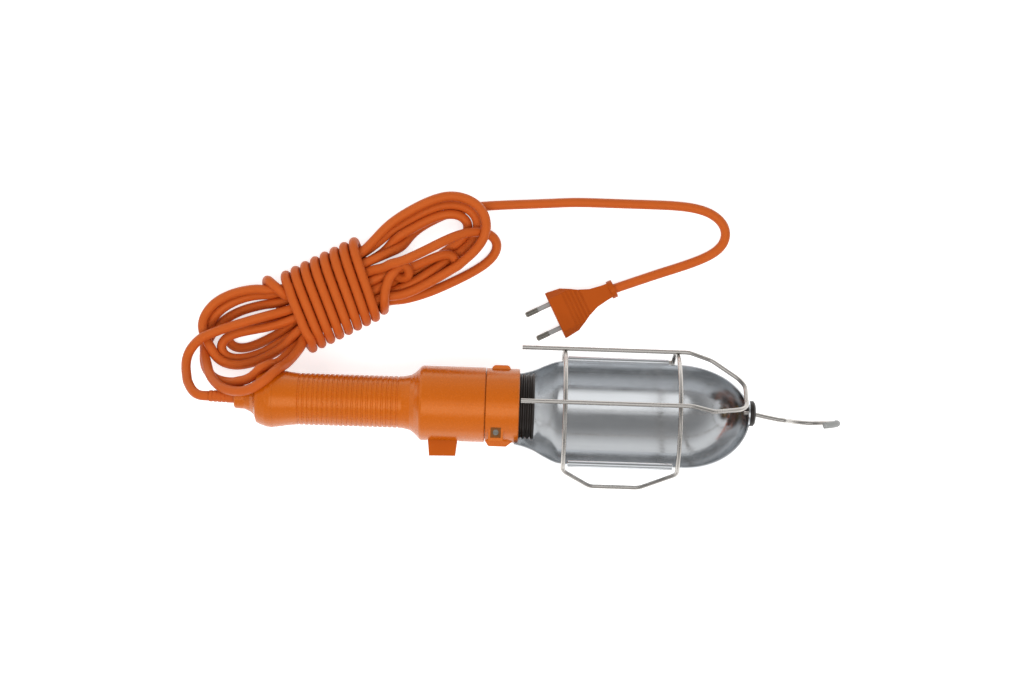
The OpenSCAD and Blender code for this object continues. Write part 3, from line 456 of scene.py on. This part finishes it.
def orangeAbs(name, s):
    material, tree = newMaterial(name)
    place = addNode(tree, "ShaderNodeTexCoord").outputs["Object"]
    cloud = addNode(tree, "ShaderNodeTexNoise", Vector=place, Scale=1000 / s["cloud"], Detail=3.0, Roughness=0.5)
    colour = addNode(tree, "ShaderNodeMix", {"data_type": "RGBA"}, in0=cloud.outputs["Fac"],
                     in6=linear(s["deep"]), in7=linear(s["base"]))
    grain = addNode(tree, "ShaderNodeTexNoise", Vector=place, Scale=1000 / s["grain"] / 3, Detail=2.0)
    scuff = addNode(tree, "ShaderNodeTexNoise", Vector=place, Scale=420.0, Detail=6.0, Roughness=0.7)
    rough = addNode(tree, "ShaderNodeMapRange", in0=scuff.outputs["Fac"], in1=0.35, in2=0.7,
                    in3=s["roughness"] - 0.05, in4=s["roughness"] + 0.08)
    soft = addNode(tree, "ShaderNodeBevel", {"samples": 4}, Radius=s["edge"] * mm)
    bump = addNode(tree, "ShaderNodeBump", Strength=0.05, Distance=0.00001, Height=grain.outputs["Fac"],
                   Normal=soft.outputs["Normal"])
    shader = addNode(tree, "ShaderNodeBsdfPrincipled", Base_Color=colour.outputs[2], Roughness=rough.outputs["Result"],
                     IOR=1.54, Specular_IOR_Level=s["sheen"], Specular_Tint=linear("#ffd9a8"),
                     Normal=bump.outputs["Normal"])
    finishMaterial(tree, shader)
    return material


# plasticised PVC: softer sheen, a little dusty, with the long faint ripple of an extruded sheath
pvcSetup = {"base": "#cf6226", "deep": "#c0571e", "roughness": 0.42, "ripple": 9}


def orangePvc():
    s = pvcSetup
    material, tree = newMaterial("extrudedPvcOrange")
    place = addNode(tree, "ShaderNodeTexCoord").outputs["Object"]
    cloud = addNode(tree, "ShaderNodeTexNoise", Vector=place, Scale=1000 / 26, Detail=4.0, Roughness=0.6)
    colour = addNode(tree, "ShaderNodeMix", {"data_type": "RGBA"}, in0=cloud.outputs["Fac"],
                     in6=linear(s["deep"]), in7=linear(s["base"]))
    ripple = addNode(tree, "ShaderNodeTexNoise", Vector=place, Scale=1000 / s["ripple"], Detail=5.0, Roughness=0.55)
    rough = addNode(tree, "ShaderNodeMapRange", in0=ripple.outputs["Fac"], in1=0.3, in2=0.7,
                    in3=s["roughness"] - 0.06, in4=s["roughness"] + 0.1)
    bump = addNode(tree, "ShaderNodeBump", Strength=0.25, Distance=0.0001, Height=ripple.outputs["Fac"])
    shader = addNode(tree, "ShaderNodeBsdfPrincipled", Base_Color=colour.outputs[2], Roughness=rough.outputs["Result"],
                     IOR=1.53, Specular_IOR_Level=0.35, Specular_Tint=linear("#ffd9a8"), Normal=bump.outputs["Normal"])
    finishMaterial(tree, shader)
    return material


# bright zinc-plated steel sheet, deep drawn: a soft mirror with fine draw lines along the lamp
sheetSetup = {"base": "#dcdfe2", "deep": "#cfd2d5", "roughness": 0.14, "line": 2.4}


def platedSheet():
    s = sheetSetup
    material, tree = newMaterial("zincPlatedSheet")
    place = addNode(tree, "ShaderNodeTexCoord").outputs["Object"]
    stretch = addNode(tree, "ShaderNodeMapping", Vector=place, Scale=(0.05, 1.0, 1.0))
    lines = addNode(tree, "ShaderNodeTexNoise", Vector=stretch.outputs[0], Scale=1000 / s["line"], Detail=4.0,
                    Roughness=0.6)
    blotch = addNode(tree, "ShaderNodeTexNoise", Vector=place, Scale=1000 / 14, Detail=5.0, Roughness=0.6)
    colour = addNode(tree, "ShaderNodeMix", {"data_type": "RGBA"}, in0=blotch.outputs["Fac"],
                     in6=linear(s["deep"]), in7=linear(s["base"]))
    both = addNode(tree, "ShaderNodeMath", {"operation": "ADD"}, in0=lines.outputs["Fac"], in1=blotch.outputs["Fac"])
    rough = addNode(tree, "ShaderNodeMapRange", in0=both.outputs[0], in1=0.7, in2=1.3,
                    in3=s["roughness"] - 0.05, in4=s["roughness"] + 0.1)
    bump = addNode(tree, "ShaderNodeBump", Strength=0.1, Distance=0.00001, Height=blotch.outputs["Fac"])
    shader = addNode(tree, "ShaderNodeBsdfPrincipled", Base_Color=colour.outputs[2], Metallic=1.0,
                     Roughness=rough.outputs["Result"], Normal=bump.outputs["Normal"])
    finishMaterial(tree, shader)
    return material


# drawn steel wire with bright zinc: a little duller than the sheet, with small dull spots
wireSetup = {"base": "#c9c5c0", "deep": "#b0aca7", "roughness": 0.18}


def platedWire():
    s = wireSetup
    material, tree = newMaterial("zincPlatedWire")
    place = addNode(tree, "ShaderNodeTexCoord").outputs["Object"]
    spots = addNode(tree, "ShaderNodeTexNoise", Vector=place, Scale=1000 / 7, Detail=4.0, Roughness=0.5)
    colour = addNode(tree, "ShaderNodeMix", {"data_type": "RGBA"}, in0=spots.outputs["Fac"],
                     in6=linear(s["deep"]), in7=linear(s["base"]))
    rough = addNode(tree, "ShaderNodeMapRange", in0=spots.outputs["Fac"], in1=0.35, in2=0.7,
                    in3=s["roughness"], in4=s["roughness"] + 0.16)
    bump = addNode(tree, "ShaderNodeBump", Strength=0.15, Distance=0.00004, Height=spots.outputs["Fac"])
    shader = addNode(tree, "ShaderNodeBsdfPrincipled", Base_Color=colour.outputs[2], Metallic=1.0,
                     Roughness=rough.outputs["Result"], Normal=bump.outputs["Normal"])
    finishMaterial(tree, shader)
    return material


# small parts share one recipe; each entry is a real finish: colours, roughness, whether it is a metal, speckle in mm
smallFinishes = {
    "yellowPassivatedBrass": ("#a06a3e", "#87542e", 0.38, 1.0, 1.2),
    "plainBrass": ("#c9a55c", "#a98440", 0.3, 1.0, 1.5),
    "nickelPlatedBrass": ("#98948c", "#7b776f", 0.3, 1.0, 1.5),
    "phenolicBlack": ("#27211d", "#191411", 0.42, 0.0, 0.8),
    "glazedCeramic": ("#ece7da", "#ddd6c6", 0.18, 0.0, 3.0),
    "greyPolyamide": ("#a9aaa8", "#8f908e", 0.45, 0.0, 1.0),
    "brownInsulation": ("#6b4128", "#59331d", 0.5, 0.0, 2.0),
    "blueInsulation": ("#3a63b4", "#2d519b", 0.5, 0.0, 2.0),
}


def smallFinish(name):
    base, deep, roughness, metal, speckle = smallFinishes[name]
    material, tree = newMaterial(name)
    place = addNode(tree, "ShaderNodeTexCoord").outputs["Object"]
    grain = addNode(tree, "ShaderNodeTexNoise", Vector=place, Scale=1000 / speckle, Detail=4.0, Roughness=0.6)
    colour = addNode(tree, "ShaderNodeMix", {"data_type": "RGBA"}, in0=grain.outputs["Fac"],
                     in6=linear(deep), in7=linear(base))
    rough = addNode(tree, "ShaderNodeMapRange", in0=grain.outputs["Fac"], in1=0.35, in2=0.7,
                    in3=roughness - 0.05, in4=roughness + 0.12)
    soft = addNode(tree, "ShaderNodeBevel", {"samples": 4}, Radius=0.0002)
    bump = addNode(tree, "ShaderNodeBump", Strength=0.15, Distance=0.00005, Height=grain.outputs["Fac"],
                   Normal=soft.outputs["Normal"])
    shader = addNode(tree, "ShaderNodeBsdfPrincipled", Base_Color=colour.outputs[2], Metallic=metal,
                     Roughness=rough.outputs["Result"], Normal=bump.outputs["Normal"])
    finishMaterial(tree, shader)
    return material


# the small zinc-plated screws share the pins' finish, which looks the same at their size
finishes = {"orange_plastic": orangeAbs("mouldedAbsOrange", plasticSetup), "orange_pvc": orangePvc(),
            "reflector_steel": platedSheet(), "wire_steel": platedWire(),
            "zinc_steel": smallFinish("nickelPlatedBrass"), "brass": smallFinish("plainBrass"),
            "black_plastic": smallFinish("phenolicBlack"), "ceramic": smallFinish("glazedCeramic"),
            "grey_plastic": smallFinish("greyPolyamide"), "brown_insulation": smallFinish("brownInsulation"),
            "blue_insulation": smallFinish("blueInsulation")}
finishes["nickel_brass"] = finishes["zinc_steel"]
ownFinishes = {"collar_nut": smallFinish("yellowPassivatedBrass"),
               "switch_rocker": orangeAbs("rockerAbsOrange", rockerSetup),
               "plug_body": orangeAbs("plugPvcOrange", plugSetup)}


def setMaterial(piece, material):
    piece.data.materials.clear()
    piece.data.materials.append(material)


for part in frame["record"]["subparts"]:
    setMaterial(nodes[part["node"]], finishes[part["material_slot"]])
for name, finish in ownFinishes.items():
    setMaterial(nodes[name], finish)
setMaterial(mainsCord, finishes["orange_pvc"])
setMaterial(pressedReflector, finishes["reflector_steel"])
setMaterial(bentHook, finishes["wire_steel"])
setMaterial(hookTipSleeve, finishes["grey_plastic"])
print("materials ready")


# floor, light and background
studio = {
    "floor": "#ececec", "floorReach": 3.0, "lift": 0.62, "world": 0.62, "ceiling": 0.34, "horizon": (0.2, 0.85),
    "cloth": (0.05, -0.2, 1.0), "clothEdge": (0.9, 0.975), "clothLight": 1.055, "aim": (0, 0.03, 0),
    # each lamp's place and size in metres, and its power
    "lamps": {"keyBox": ((0.1, -0.5, 1.5), (1.5, 0.8), 15.5), "fillBox": ((-0.9, 0.9, 1.1), (0.9, 0.9), 4.0)},
}


# 1 for what the camera sees straight, in a mirror or through glass, and 0 for light that falls on things
def seenRay(tree):
    path = addNode(tree, "ShaderNodeLightPath")
    seen = path.outputs["Is Camera Ray"]
    for ray in ("Is Glossy Ray", "Is Transmission Ray"):
        seen = addNode(tree, "ShaderNodeMath", {"operation": "MAXIMUM"}, in0=seen, in1=path.outputs[ray]).outputs[0]
    return seen


def makeStudio():
    mesh = bpy.data.meshes.new("floor")
    size = studio["floorReach"]
    mesh.from_pydata([(-size, -size, floorZ * mm), (size, -size, floorZ * mm), (size, size, floorZ * mm),
                      (-size, size, floorZ * mm)], [], [(0, 1, 2, 3)])
    floor = bpy.data.objects.new("floor", mesh)
    scene.collection.objects.link(floor)
    material, tree = newMaterial("paintedPaper")
    lift = addNode(tree, "ShaderNodeMath", {"operation": "MULTIPLY"}, in0=seenRay(tree), in1=studio["lift"])
    paper = addNode(tree, "ShaderNodeBsdfDiffuse", Color=linear(studio["floor"]))
    glow = addNode(tree, "ShaderNodeEmission", Strength=lift.outputs[0])
    both = addNode(tree, "ShaderNodeAddShader", in0=paper.outputs[0], in1=glow.outputs[0])
    finishMaterial(tree, both)
    setMaterial(floor, material)

    world = bpy.data.worlds.new("studio")
    scene.world = world
    world.use_nodes = True
    tree = world.node_tree
    tree.nodes.clear()
    # white round the horizon, greyer overhead where a studio has its ceiling
    view = addNode(tree, "ShaderNodeTexCoord").outputs["Generated"]
    height = addNode(tree, "ShaderNodeSeparateXYZ", Vector=view)
    shown = addNode(tree, "ShaderNodeMapRange", {"interpolation_type": "SMOOTHSTEP"}, in0=height.outputs["Z"],
                    in1=studio["horizon"][0], in2=studio["horizon"][1], in3=1.0, in4=studio["ceiling"])
    # the key's large soft cloth, as shiny things show it
    towards = addNode(tree, "ShaderNodeVectorMath", {"operation": "DOT_PRODUCT"}, in0=view,
                      in1=Vector(studio["cloth"]).normalized())
    cloth = addNode(tree, "ShaderNodeMapRange", {"interpolation_type": "SMOOTHERSTEP"}, in0=towards.outputs["Value"],
                    in1=studio["clothEdge"][0], in2=studio["clothEdge"][1], in3=0.0, in4=studio["clothLight"])
    glossy = addNode(tree, "ShaderNodeMath", {"operation": "ADD"}, in0=shown.outputs["Result"],
                     in1=cloth.outputs["Result"])
    strength = addNode(tree, "ShaderNodeMix", {"data_type": "FLOAT"}, in0=seenRay(tree), in2=studio["world"],
                       in3=glossy.outputs[0])
    sky = addNode(tree, "ShaderNodeBackground", Strength=strength.outputs[0])
    out = tree.nodes.new("ShaderNodeOutputWorld")
    tree.links.new(sky.outputs[0], out.inputs["Surface"])

    for name, (place, size, power) in studio["lamps"].items():
        data = bpy.data.lights.new(name, "AREA")
        data.shape = "RECTANGLE"
        data.size, data.size_y = size
        data.energy = power
        lamp = bpy.data.objects.new(name, data)
        lamp.location = place
        lamp.rotation_euler = (Vector(studio["aim"]) - Vector(place)).to_track_quat("-Z", "Y").to_euler()
        lamp.visible_glossy = False
        scene.collection.objects.link(lamp)


makeStudio()
scene.view_settings.view_transform = "Standard"
print("studio ready")
